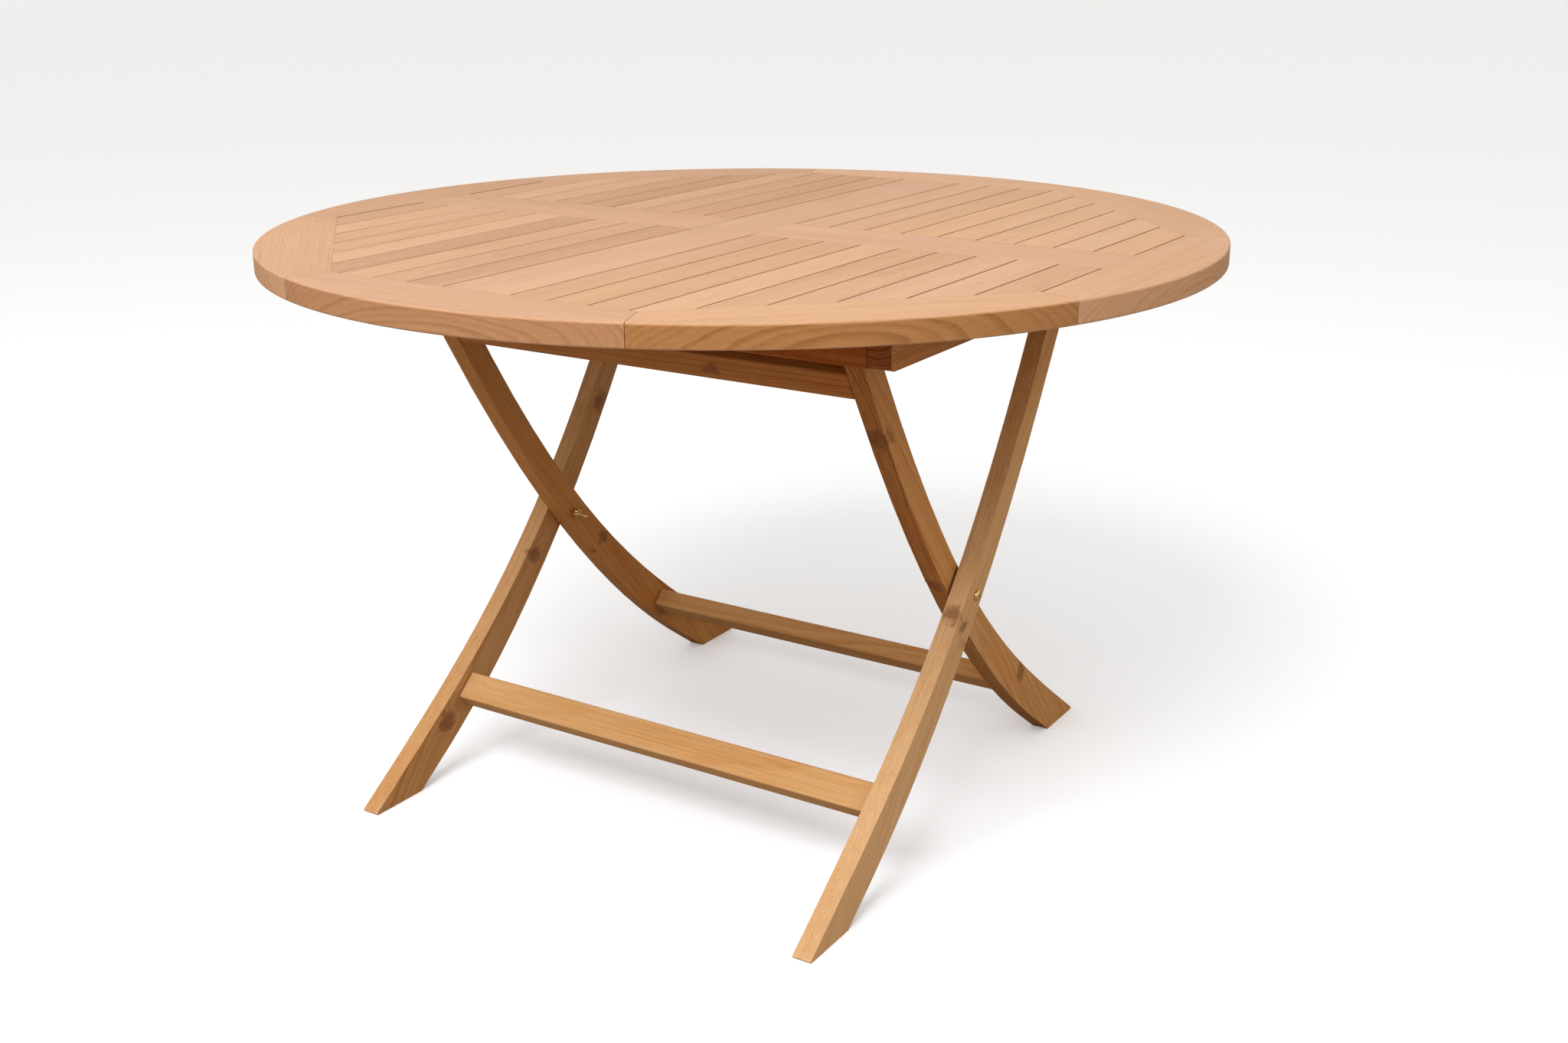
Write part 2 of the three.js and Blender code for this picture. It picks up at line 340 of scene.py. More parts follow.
# Multiplies end grain and the painted shade carried by the end attribute.
END_GRAIN_AND_SHADE_TINT = (0.60, 0.46, 0.25, 1.0)
WOOD_SHINE = 0.16
WOOD_RELIEF = 0.0006             # height of the raised grain


def knot_mask(graph, knots):
    """1 in the middle of each knot, falling off to 0 around it, with ruffled edges."""
    place = graph.node("ShaderNodeTexCoord", output="Object")
    shift = graph.node("ShaderNodeTexNoise", inputs={
        "Vector": place, "Scale": KNOT_BLOTS, "Detail": 3.0, "Roughness": 0.6}, output="Color")
    shift = graph.vector_math("SUBTRACT", shift, (0.5,) * 3)
    shift = graph.vector_math("MULTIPLY", shift, (KNOT_RUFFLE,) * 3)
    place = graph.vector_math("ADD", place, shift)
    mask = None
    for centre, radius in knots:
        away = graph.vector_math("DISTANCE", place, centre, output="Value")
        mark = 1.0 - graph.smooth(away, radius * 0.2, radius * 1.7)
        mask = mark if mask is None else graph.math("MAXIMUM", mask, mark)
    return mask


def wood_material(name, colors, contrast, knots=()):
    """Oiled hardwood from a log: growth rings, fine streaks, pores, end grain, painted shade,
    knots.

    Reads three attributes of the piece: grain (place in the log), board (tone, warmth and figure
    of each board; on the legs, top rails and bars the tone also holds painted shade) and end (end
    grain, and painted shade on a leg's faces and the ring's round edge).
    """
    wood = bpy.context.scene.picnic_wood
    material, graph, shader = new_material(name)
    grain = graph.node("ShaderNodeAttribute", {"attribute_name": "grain"}, output="Vector")
    board = graph.node("ShaderNodeAttribute", {"attribute_name": "board"}, output="Vector")
    end = graph.node("ShaderNodeAttribute", {"attribute_name": "end"}, output="Fac")
    tone, warmth, figure = graph.split(board)
    knot = knot_mask(graph, knots) if knots else None

    _, across, through = graph.split(grain)
    sway = graph.noise(grain, (1.3, 8.0, 8.0), 2.0)
    ripple = graph.noise(grain, (6.0, 55.0, 55.0), 3.0)
    distance = graph.math("SQRT", across * across + through * through)
    distance = distance + sway * SWAY + ripple * RIPPLE
    if knots:
        distance = distance + knot * KNOT_BEND
    years = distance / wood.ring_pitch
    year = graph.math("FRACT", years)
    late = graph.smooth(year, 0.15, 0.80) * (1.0 - graph.smooth(year, 0.84, 1.0))
    thin_year = graph.node("ShaderNodeTexWhiteNoise", {"noise_dimensions": "1D"},
                           {"W": graph.math("FLOOR", years)}, "Value")
    late = late * (0.15 + 0.85 * thin_year)

    clouds = graph.noise(grain, (2.2, 16.0, 16.0), 2.0)
    streaks = graph.noise(grain, (3.4, 240.0, 240.0), 5.0, 0.68)
    fibre = graph.noise(grain, (16.0, 900.0, 900.0), 3.0, 0.6)
    pores = graph.smooth(graph.noise(grain, (55.0, 1500.0, 1500.0), 1.0), 0.10, 0.22)

    depth = 0.34 + (tone - 0.5) * 0.6 + late * (0.20 + 0.30 * figure + end * 0.9) * contrast
    depth = depth + streaks * 1.35 * contrast + clouds * 0.90 * contrast + fibre * 0.50
    stops = [(index / (len(colors) - 1), rgba(shade)) for index, shade in enumerate(colors)]
    color = graph.node("ShaderNodeValToRGB", {"stops": stops}, {"Fac": depth}, "Color")
    tint = graph.mix((warmth - 0.5) * 0.9 + 0.45, COOL_TINT, WARM_TINT)
    color = graph.mix(1.0, color, tint, "MULTIPLY")
    color = graph.mix(pores * 0.28, color, PORE_TINT, "MULTIPLY")
    # Darkens end grain, and paints the shade that the legs and ring carry in the end attribute.
    color = graph.mix(end, color, END_GRAIN_AND_SHADE_TINT, "MULTIPLY")
    if knots:
        heart = graph.smooth(knot + streaks * 0.8, 0.12, 0.90)
        color = graph.mix(heart * 0.70, color, KNOT_COLOR)
    graph.feed(shader.inputs["Base Color"], color)
    graph.feed(shader.inputs["Roughness"],
               wood.roughness + late * -0.05 + pores * 0.12 + streaks * 0.12)
    relief = late * -0.25 + pores * -0.8 + fibre * 0.9 + streaks * 0.6
    bump = graph.node("ShaderNodeBump", inputs={
        "Strength": 0.22, "Distance": WOOD_RELIEF, "Height": relief}, output="Normal")
    graph.feed(shader.inputs["Normal"], bump)
    shader.inputs["Specular IOR Level"].default_value = WOOD_SHINE
    return material


TARNISH_COLOR = (0.30, 0.150, 0.045, 1.0)
BRASS_RELIEF = 0.0001            # height of the turning marks


def brass_material(color):
    """Satin brass with brown tarnish in patches and fine turning marks."""
    material, graph, shader = new_material("Satin brass")
    place = graph.node("ShaderNodeTexCoord", output="Object")
    tarnish = graph.smooth(graph.noise(place, (260.0,) * 3, 4.0, 0.6), -0.05, 0.28)
    marks = graph.noise(place, (1400.0, 300.0, 300.0), 2.0)
    graph.feed(shader.inputs["Base Color"], graph.mix(
        tarnish * 0.65, rgba(color), TARNISH_COLOR))
    graph.feed(shader.inputs["Roughness"], 0.24 + tarnish * 0.22 + marks * 0.12)
    bump = graph.node("ShaderNodeBump", inputs={
        "Strength": 0.15, "Distance": BRASS_RELIEF, "Height": marks}, output="Normal")
    graph.feed(shader.inputs["Normal"], bump)
    shader.inputs["Metallic"].default_value = 1.0
    return material


MATERIALS = {}


def finish_of(slot):
    """The material of a slot, made when it is first asked for."""
    if slot in MATERIALS:
        return MATERIALS[slot]
    if slot == "brass":
        material = brass_material(bpy.context.scene.picnic_brass.color)
    else:
        wood = bpy.context.scene.picnic_wood
        top = (wood.top_light, wood.top_dark)
        body = (wood.frame_light, wood.frame_mid, wood.frame_dark)
        kinds = {
            "top_wood": ("Oiled hardwood top", top, 0.50),
            "rim_wood": ("Oiled hardwood rim", top, 0.50),
            "frame_wood": ("Oiled hardwood frame", body, 0.42, KNOTS),
            "under_wood": ("Oiled hardwood bars", body, 0.50),
        }
        material = wood_material(*kinds[slot])
    MATERIALS[slot] = material
    return material


# ---- making pieces -------------------------------------------------------------------------------


SHARP = math.radians(35)         # edges that turn more than this get an arris
TURNED_SHARP = math.radians(40)  # the same for turned brass, which keeps them sharp
MERGE = 1e-5                     # points closer than this are one
FLAT = math.radians(0.25)        # faces that turn less than this are one
LOG_LENGTH = 9.0                 # length of the log that the boards are cut from
OFF_CENTRE = 0.05                # how far a board may lie beside the middle of the log
BOARD_DEPTHS = (0.035, 0.11)     # how far above or below it
SLAT_DEPTHS = (0.03, 0.12)       # the same for the slats
END_FALL = 1.5                   # how fast end grain fades as a face turns along the grain


def add_object(name, mesh):
    obj = bpy.data.objects.new(name, mesh)
    bpy.context.scene.collection.objects.link(obj)
    return obj


def finished_mesh(obj, name):
    """The plain mesh that an object's modifiers make; the object is removed."""
    bpy.context.view_layer.update()
    graph = bpy.context.evaluated_depsgraph_get()
    mesh = bpy.data.meshes.new_from_object(
        obj.evaluated_get(graph), preserve_all_data_layers=True, depsgraph=graph)
    mesh.name = name
    bpy.data.objects.remove(obj)
    return mesh


def place_piece(name, mesh, body, slot, nodes=()):
    """Puts a finished mesh on its body, with its finish, in place of its CAD nodes."""
    mesh.materials.clear()
    mesh.materials.append(finish_of(slot))
    piece = add_object(name, mesh)
    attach(piece, body)
    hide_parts(*nodes)
    return piece


def rounded(shape, name, width, segments=3, arris=None):
    """Rounds the chosen sharp edges of a bmesh and shades it, and frees the bmesh."""
    weights = shape.edges.layers.float.new("bevel_weight_edge")
    for edge in shape.edges:
        sharp = len(edge.link_faces) == 2 and edge.calc_face_angle() > SHARP
        chosen = sharp and (arris is None or arris(edge))
        edge[weights] = 1.0 if chosen else 0.0
        edge.smooth = chosen or not sharp
    for face in shape.faces:
        face.smooth = True
    mesh = bpy.data.meshes.new(name)
    shape.to_mesh(mesh)
    shape.free()
    obj = add_object("work_" + name, mesh)
    bevel = obj.modifiers.new("Round the arrises", "BEVEL")
    bevel.limit_method = "WEIGHT"
    bevel.width = width
    bevel.segments = segments
    bevel.use_clamp_overlap = True
    normals = obj.modifiers.new("Keep the faces flat", "WEIGHTED_NORMAL")
    normals.keep_sharp = True
    return finished_mesh(obj, name)


def node_shape(node):
    """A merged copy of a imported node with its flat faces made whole."""
    shape = bmesh.new()
    shape.from_mesh(NODES[node].data)
    bmesh.ops.remove_doubles(shape, verts=shape.verts, dist=MERGE)
    bmesh.ops.dissolve_limit(shape, angle_limit=FLAT, verts=shape.verts, edges=shape.edges)
    return shape


def lay_grain(mesh, along, face, tone=None, pith=None):
    """Writes where each point of a board lay in the log, the board's looks and its end grain."""
    along = Vector(along).normalized()
    face = Vector(face).normalized()
    across = face.cross(along)
    points = [vertex.co for vertex in mesh.vertices]
    centre = sum(points, Vector()) / len(points)
    start = BOARD_SEEDS.uniform(0, LOG_LENGTH)
    side = BOARD_SEEDS.uniform(-OFF_CENTRE, OFF_CENTRE)
    deep = BOARD_SEEDS.uniform(*BOARD_DEPTHS) * BOARD_SEEDS.choice((-1, 1))
    looks = [BOARD_SEEDS.random() for _ in range(3)]
    if pith is not None:
        side, deep = pith
    if tone is not None:
        looks[0] = tone
    grain = mesh.attributes.new("grain", "FLOAT_VECTOR", "POINT")
    board = mesh.attributes.new("board", "FLOAT_VECTOR", "POINT")
    for index, point in enumerate(points):
        offset = point - centre
        grain.data[index].vector = (
            offset.dot(along) + start, offset.dot(across) + side, offset.dot(face) + deep)
        board.data[index].vector = looks
    write_end_grain(mesh, along)


def write_end_grain(mesh, along):
    """Writes how far each face cuts across the grain."""
    end = mesh.attributes.new("end", "FLOAT", "FACE")
    for polygon in mesh.polygons:
        end.data[polygon.index].value = abs(polygon.normal.dot(along)) ** END_FALL


def board_piece(node, body, slot, along, face, width, tone=None, arris=None, pith=None):
    """A solid board in the shape of its CAD node, with rounded arrises and its own grain."""
    mesh = rounded(node_shape(node), node + "_board", width, arris=arris)
    lay_grain(mesh, along, face, tone, pith)
    return place_piece(node + "_board", mesh, body, slot, [node])


def lathe(shape, profile, origin, sign, sides=40, hexed=()):
    """Turns a profile of (radius, height) about X into a bmesh; height runs towards sign * X.

    The rows named in hexed are six-sided, for a socket.
    """
    rings = []
    for row, (radius, height) in enumerate(profile):
        x = origin[0] + sign * height
        if radius == 0:
            rings.append([shape.verts.new((x, origin[1], origin[2]))])
            continue
        ring = []
        for step in range(sides):
            angle = 2 * math.pi * step / sides
            reach = radius
            if row in hexed:
                reach *= math.cos(math.pi / 6) / math.cos(angle % (math.pi / 3) - math.pi / 6)
            ring.append(shape.verts.new((
                x, origin[1] + reach * math.cos(angle), origin[2] + reach * math.sin(angle))))
        rings.append(ring)
    for low, high in zip(rings, rings[1:]):
        for step in range(sides):
            corners = [low[step % len(low)], low[(step + 1) % len(low)],
                       high[(step + 1) % len(high)], high[step % len(high)]]
            shape.faces.new(list(dict.fromkeys(corners)))


def turned_mesh(shape, name):
    """Closes up a turned bmesh: outward normals, and sharp edges where it turns sharply."""
    bmesh.ops.recalc_face_normals(shape, faces=shape.faces)
    for edge in shape.edges:
        edge.smooth = len(edge.link_faces) != 2 or edge.calc_face_angle() <= TURNED_SHARP
    for face in shape.faces:
        face.smooth = True
    mesh = bpy.data.meshes.new(name)
    shape.to_mesh(mesh)
    shape.free()
    return mesh


def wall(shape, low, high):
    """Joins two matching closed outlines with a wall."""
    for index in range(len(low)):
        after = (index + 1) % len(low)
        shape.faces.new((low[index], low[after], high[after], high[index]))


def reach_of(node, sign):
    """How far a node's inner and outer sides lie from the middle of the table, towards sign * X."""
    low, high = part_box(node)
    return sorted((sign * low.x, sign * high.x))


# ---- table top -----------------------------------------------------------------------------------


def is_long_edge(axis):
    """Chooses the edges that run along an axis."""
    def chosen(edge):
        run = edge.verts[1].co - edge.verts[0].co
        return abs(run[axis]) > 0.9 * run.length
    return chosen


class PICNIC_OT_rails(bpy.types.Operator):
    """Make the long rail and the two halves of the cross rail"""

    bl_idname = "picnic.rails"
    bl_label = "Rails of the Top"

    def execute(self, context):
        width = context.scene.picnic_boards.slat_round
        board_piece("long_rail", "table_top", "top_wood", (0, 1, 0), (0, 0, 1), width,
                    tone=0.32, arris=is_long_edge(1))
        for side, tone in (("right", 0.30), ("left", 0.40)):
            board_piece(f"cross_rail_{side}", "table_top", "top_wood", (1, 0, 0), (0, 0, 1),
                        width * 0.4, tone=tone, arris=is_long_edge(0))
        return {"FINISHED"}


SLAT_CORNER = 0.001              # the bend in a slat's outer end keeps this far from its edges


def slat_tree():
    """Slats of all four quadrants, cut off along the octagon inside the ring."""
    tree, graph, size = start_tree("Slatted top", (
        ("Slats per Quadrant", "Int"), ("Groove", "Float"), ("Pitch", "Float"),
        ("Long Rail Half", "Float"), ("Cross Rail Half", "Float"), ("Apothem", "Float"),
        ("Joint", "Float"), ("Underside", "Float"), ("Thickness", "Float"), ("Seed", "Int"),
        ("Material", "Material")))
    count = size["Slats per Quadrant"]
    line = graph.node("GeometryNodeMeshLine", inputs={"Count": count * 4, "Offset": (0, 0, 0)})
    blank = graph.node("GeometryNodeMeshCube",
                       inputs={"Vertices X": 3, "Vertices Y": 2, "Vertices Z": 2})
    rows = graph.node("GeometryNodeInstanceOnPoints", inputs={"Points": line, "Instance": blank})
    number = graph.node("GeometryNodeInputIndex")
    rows = graph.node("GeometryNodeStoreNamedAttribute",
                      {"data_type": "FLOAT", "domain": "INSTANCE"},
                      {"Geometry": rows, "Name": "slat", "Value": number})
    solid = graph.node("GeometryNodeRealizeInstances", inputs={"Geometry": rows})
    slat = graph.node("GeometryNodeInputNamedAttribute", {"data_type": "FLOAT"},
                      {"Name": "slat"}, "Attribute")

    quadrant = graph.math("FLOOR", (slat + 0.5) / count)
    index = slat - quadrant * count
    half = graph.math("FLOOR", (quadrant + 0.5) / 2.0)
    sign_x = 1.0 - 2.0 * (quadrant - 2.0 * half)
    sign_y = 1.0 - 2.0 * half
    spot_x, spot_y, spot_z = graph.split(graph.node("GeometryNodeInputPosition"))
    left = size["Long Rail Half"] + size["Groove"] + index * size["Pitch"]
    right = left + size["Pitch"] - size["Groove"]
    corner = size["Apothem"] * math.tan(math.pi / 8)
    middle = graph.math("MAXIMUM", corner, left + SLAT_CORNER)
    middle = graph.math("MINIMUM", middle, right - SLAT_CORNER)
    on_left = graph.math("LESS_THAN", spot_x, -0.25)
    on_right = graph.math("GREATER_THAN", spot_x, 0.25)
    x = middle + on_left * (left - middle) + on_right * (right - middle)
    mitred = size["Apothem"] * math.sqrt(2) - x
    outer = graph.math("MINIMUM", size["Apothem"], mitred) - size["Joint"]
    inner = size["Cross Rail Half"] + size["Joint"]
    y = inner + graph.math("GREATER_THAN", spot_y, 0.0) * (outer - inner)
    z = size["Underside"] + (spot_z + 0.5) * size["Thickness"]

    def chance(low, high, offset):
        return graph.node("FunctionNodeRandomValue", {"data_type": "FLOAT"}, {
            "Min": low, "Max": high, "ID": slat, "Seed": size["Seed"] + offset}, "Value")

    grain = graph.join(sign_y * y + chance(0.0, LOG_LENGTH, 0),
                       x - (left + right) * 0.5 + chance(-OFF_CENTRE, OFF_CENTRE, 1),
                       z - size["Underside"] + chance(*SLAT_DEPTHS, 2))
    looks = graph.join(chance(0.0, 1.0, 3), chance(0.0, 1.0, 4), chance(0.0, 1.0, 5))
    for name, value in (("grain", grain), ("board", looks)):
        solid = graph.node("GeometryNodeStoreNamedAttribute",
                           {"data_type": "FLOAT_VECTOR", "domain": "POINT"},
                           {"Geometry": solid, "Name": name, "Value": value})
    long_edge = graph.node("GeometryNodeInputMeshEdgeVertices", output="Position 1")
    other_end = Value(graph, long_edge.socket.node.outputs["Position 2"])
    _, run_y, _ = graph.split(graph.vector_math("SUBTRACT", long_edge, other_end))
    end_x, _, end_z = graph.split(graph.vector_math("ADD", long_edge, other_end))
    is_long = graph.math("GREATER_THAN", graph.math("ABSOLUTE", run_y), 0.5)
    is_side = graph.math("GREATER_THAN", graph.math("ABSOLUTE", end_x), 0.5)
    is_top = graph.math("GREATER_THAN", end_z, 0.5)
    solid = graph.node("GeometryNodeStoreNamedAttribute", {"data_type": "FLOAT", "domain": "EDGE"},
                       {"Geometry": solid, "Name": "bevel_weight_edge",
                        "Value": is_long * is_side * is_top})
    solid = graph.node("GeometryNodeSetPosition", inputs={
        "Geometry": solid, "Position": graph.join(sign_x * x, sign_y * y, z)})
    mirrored = graph.math("LESS_THAN", sign_x * sign_y, 0.0)
    solid = graph.node("GeometryNodeFlipFaces", inputs={"Mesh": solid, "Selection": mirrored})
    end_tree(graph, solid, size["Material"])
    return tree


def run_tree(tree, name, values, bevel_width=0.0):
    """Runs a geometry tree with the named input values and returns the plain mesh."""
    obj = add_object("work_" + name, bpy.data.meshes.new(name))
    modifier = obj.modifiers.new("Build", "NODES")
    modifier.node_group = tree
    for item in tree.interface.items_tree:
        if item.in_out == "INPUT" and item.name in values:
            modifier[item.identifier] = values[item.name]
    if bevel_width:
        bevel = obj.modifiers.new("Round the arrises", "BEVEL")
        bevel.limit_method = "WEIGHT"
        bevel.width = bevel_width
        bevel.segments = 2
    return finished_mesh(obj, name)


# The tone of each slat from the long rail outwards: darker above a half, paler below it.
SLAT_TONES = {
    ("right", "near"): (0.62, 0.62, 0.60, 0.14, 0.58, 0.52, 0.36, 0.22, 0.52),
    ("right", "far"): (0.26, 0.36, 0.34, 0.18, 0.20, 0.14, 0.12, 0.02, 0.34),
    ("left", "near"): (0.82, 0.60, 0.50, 0.90, 0.24, 0.48, 0.50, 0.24, 0.74),
    ("left", "far"): (0.72, 0.76, 0.64, 0.38, 0.92, 0.78, 0.32, 0.14, 0.70),
}


class PICNIC_OT_slats(bpy.types.Operator):
    """Make the slats of all four quadrants"""

    bl_idname = "picnic.slats"
    bl_label = "Slats"

    def execute(self, context):
        boards = context.scene.picnic_boards
        pitch = SLAT_WIDTH + GROOVE
        mesh = run_tree(slat_tree(), "slats", {
            "Slats per Quadrant": boards.slats,
            "Groove": boards.groove,
            "Pitch": pitch,
            "Long Rail Half": TOP_HIGH.x,
            "Cross Rail Half": CROSS_HIGH.y,
            "Apothem": APOTHEM,
            "Joint": JOINT,
            "Underside": TOP_LOW.z,
            "Thickness": TOP_HIGH.z - TOP_LOW.z,
            "Seed": SEED,
            "Material": finish_of("top_wood"),
        }, boards.slat_round)
        looks = mesh.attributes["board"].data
        for vertex in mesh.vertices:
            x, y, _ = vertex.co
            quadrant = ("right" if x > 0 else "left", "near" if y < 0 else "far")
            index = int((abs(x) - TOP_HIGH.x - GROOVE / 2) / pitch)
            tone = SLAT_TONES[quadrant][min(index, SLATS_PER_QUADRANT - 1)]
            looks[vertex.index].vector.x = tone
        write_end_grain(mesh, Vector((0, 1, 0)))
        slats = [name for name in NODES if name.startswith("slat_")]
        place_piece("slats", mesh, "table_top", "top_wood", slats)
        return {"FINISHED"}


# The eight boards of the ring, from +X round by +Y: the CAD quarter each is part of, its tone, and
# the painted shade on its round edge.
RING_BOARDS = (
    ("ring_right", 0.36, 0.26), ("ring_right", 0.36, 0.45), ("ring_far", 0.06, 0.55),
    ("ring_far", 0.52, 0.55), ("ring_left", 0.66, 0.40), ("ring_left", 0.50, 0.22),
    ("ring_near", 0.46, 0.66), ("ring_near", 0.46, 0.90),
)
RIM_SLOPE = 0.05                 # rise of the ring boards' grain along their length
RIM_PITH = (0.075, 0.034)        # how far inside and below the ring boards the log's middle lies
MITRE_TRIM = 0.00035             # taken off each ring board's ends
ARC_STEPS = 40


def ring_board_shape(middle):
    """One mitred board of the ring: straight inside, round outside."""
    half = math.pi / 8
    outline = []
    for step in range(ARC_STEPS + 1):
        angle = middle - half + 2 * half * step / ARC_STEPS
        spot = Vector((math.cos(angle), math.sin(angle))) * RING_RADIUS
        outline.append(spot)
    inner = APOTHEM / math.cos(half)
    for angle in (middle + half, middle - half):
        outline.append(Vector((math.cos(angle), math.sin(angle))) * inner)
    tangent = Vector((-math.sin(middle), math.cos(middle)))
    for index in (0, ARC_STEPS, ARC_STEPS + 1, ARC_STEPS + 2):
        outline[index] -= tangent * math.copysign(MITRE_TRIM, outline[index].dot(tangent))
    shape = bmesh.new()
    low = [shape.verts.new((spot.x, spot.y, TOP_LOW.z)) for spot in outline]
    high = [shape.verts.new((spot.x, spot.y, TOP_HIGH.z)) for spot in outline]
    shape.faces.new(list(reversed(low)))
    shape.faces.new(high)
    wall(shape, low, high)
    shape.normal_update()
    return shape


def on_rim(edge):
    """Chooses the level edges along the round side."""
    return all(vert.co.xy.length > RING_RADIUS * 0.99 for vert in edge.verts) and (
        abs(edge.verts[0].co.z - edge.verts[1].co.z) < 1e-6)


class PICNIC_OT_ring(bpy.types.Operator):
    """Make the eight mitred boards of the round ring"""

    bl_idname = "picnic.ring"
    bl_label = "Ring"

    def execute(self, context):
        width = context.scene.picnic_boards.rim_round
        for index, (node, tone, shade) in enumerate(RING_BOARDS):
            middle = index * math.pi / 4
            name = f"ring_board_{index + 1}"
            mesh = rounded(ring_board_shape(middle), name, width, segments=4, arris=on_rim)
            lay_grain(mesh, (-math.sin(middle), math.cos(middle), RIM_SLOPE), (0, 0, 1), tone,
                      RIM_PITH)
            # Painted shade on each board's round edge and mitres, in place of end grain.
            ends = mesh.attributes["end"].data
            for polygon in mesh.polygons:
                ends[polygon.index].value = shade * (1 - abs(polygon.normal.z))
            place_piece(name, mesh, "table_top", "rim_wood", [node])
        return {"FINISHED"}


class PICNIC_OT_under_bars(bpy.types.Operator):
    """Make the battens and the near bar under the top"""

    bl_idname = "picnic.under_bars"
    bl_label = "Battens and Near Bar"

    def execute(self, context):
        width = context.scene.picnic_boards.frame_round
        # Painted shade: tones past the darkest wood (1.1, 1.5) darken the bars beneath the top.
        for side in ("right", "left"):
            board_piece(f"batten_{side}", "table_top", "under_wood", (0, 1, 0), (0, 0, 1), width,
                        tone=1.1)
        board_piece("near_bar", "table_top", "under_wood", (1, 0, 0), (0, 1, 0), width, tone=1.5)
        return {"FINISHED"}


# ---- leg frames ----------------------------------------------------------------------------------

LEG_LEAN = math.radians(50)      # slope of the legs' grain

# Each frame's lean and the tones of its top rail and stretcher. The top rails' dark tones hold
# painted shade from the table top above them.
FRAME_LOOKS = {"outer": (1, 0.95, 0.42), "inner": (-1, 1.08, 0.60)}

# Each leg's tone, the painted shade that darkens it per metre of height towards the top, and the
# painted shade on its wide faces and on its narrow faces.
LEG_TONES_AND_PAINTED_SHADE = {
    "outer_leg_right": (0.14, 1.1, 0.18, 0.0),
    "outer_leg_left": (0.34, 0.3, 0.45, 0.0),
    "inner_leg_right": (0.70, 0.3, 0.0, 0.55),
    "inner_leg_left": (0.92, 0.0, 0.12, 0.0),
}
PAINTED_SHADE_FROM = 0.22              # height from which painted shade darkens a leg


def paint_shade_on_leg(mesh, rise, wide, narrow):
    """Paints shade on a leg's wide and narrow faces and on the leg towards its top."""
    ends = mesh.attributes["end"].data
    for polygon in mesh.polygons:
        sideways = abs(polygon.normal.x)
        shade = wide * sideways + narrow * (1 - sideways)
        ends[polygon.index].value = max(ends[polygon.index].value, shade)
    looks = mesh.attributes["board"].data
    for vertex in mesh.vertices:
        looks[vertex.index].vector.x += rise * max(0.0, vertex.co.z - PAINTED_SHADE_FROM)


class PICNIC_OT_leg_frames(bpy.types.Operator):
    """Make the curved legs, top rails and stretchers of both frames"""

    bl_idname = "picnic.leg_frames"
    bl_label = "Leg Frames"

    def execute(self, context):
        width = context.scene.picnic_boards.frame_round
        for prefix, (lean, rail_tone, stretcher_tone) in FRAME_LOOKS.items():
            body = f"{prefix}_frame"
            along = (0, lean * math.cos(LEG_LEAN), math.sin(LEG_LEAN))
            for side in ("right", "left"):
                node = f"{prefix}_leg_{side}"
                tone, rise, wide, narrow = LEG_TONES_AND_PAINTED_SHADE[node]
                leg = board_piece(node, body, "frame_wood", along, (1, 0, 0), width, tone=tone)
                # Painted shade on the leg's faces and towards its top.
                paint_shade_on_leg(leg.data, rise, wide, narrow)
            rail_face = (0, -math.sin(LEG_LEAN), math.cos(LEG_LEAN))
            for kind, tone in (("top_rail", rail_tone), ("stretcher", stretcher_tone)):
                board_piece(f"{prefix}_{kind}", body, "frame_wood", (1, 0, 0), rail_face, width,
                            tone=tone)
        return {"FINISHED"}


# ---- brass ---------------------------------------------------------------------------------------

BOLTS = (("pivot", "outer_frame", 12), ("hinge", "table_top", 4))    # kind, body, turns of thread
HEAD_HEIGHT = 0.0045
HEAD_RIM = 0.0008                # height of the head's upright edge
HEAD_STEPS = 8
SHANK_RADIUS = 0.004
THREAD_DEPTH = 0.0006
SOCKET_RADIUS = 0.0024
SOCKET_DEPTH = 0.0016
BRASS_MERGE = 1e-6
WASHER_BORE = 0.00435
WASHER_GAP = 0.0002              # play between a washer and the legs
WASHER_SOFT = 0.0004             # rounding of a washer's edge


def bolt_profile(head_radius, shank_length, pitch, threads):
    """From the tip of the thread to the socket in the domed head, as (radius, height)."""
    tip = -shank_length
    profile = [(0, tip), (SHANK_RADIUS - 0.0007, tip), (SHANK_RADIUS - 0.0002, tip + 0.0006)]
    for turn in range(threads):
        base = tip + 0.0008 + turn * pitch
        profile.append((SHANK_RADIUS - THREAD_DEPTH, base))
        profile.append((SHANK_RADIUS, base + pitch * 0.5))
    profile.append((SHANK_RADIUS - 0.0001, tip + 0.0010 + threads * pitch))
    profile.append((SHANK_RADIUS - 0.0001, 0))
    profile.append((head_radius - 0.0002, 0))
    profile.append((head_radius, 0.0002))
    top_angle = math.acos(SOCKET_RADIUS * 1.2 / head_radius)
    for step in range(HEAD_STEPS + 1):
        angle = top_angle * step / HEAD_STEPS
        profile.append((head_radius * math.cos(angle),
                        HEAD_RIM + (HEAD_HEIGHT - HEAD_RIM) * math.sin(angle)))
    rim = profile[-1][1]
    hexed = (len(profile), len(profile) + 1)
    profile.append((SOCKET_RADIUS, rim))
    profile.append((SOCKET_RADIUS, rim - SOCKET_DEPTH))
    profile.append((0, rim - SOCKET_DEPTH))
    return profile, hexed


def washer_profile(radius, low, high):
    """A closed ring section with rounded outer corners, as (radius, height)."""
    soft = WASHER_SOFT
    return [(WASHER_BORE, low), (radius - soft, low), (radius - soft * 0.3, low + soft * 0.3),
            (radius, low + soft), (radius, high - soft), (radius - soft * 0.3, high - soft * 0.3),
            (radius - soft, high), (WASHER_BORE, high), (WASHER_BORE, low)]


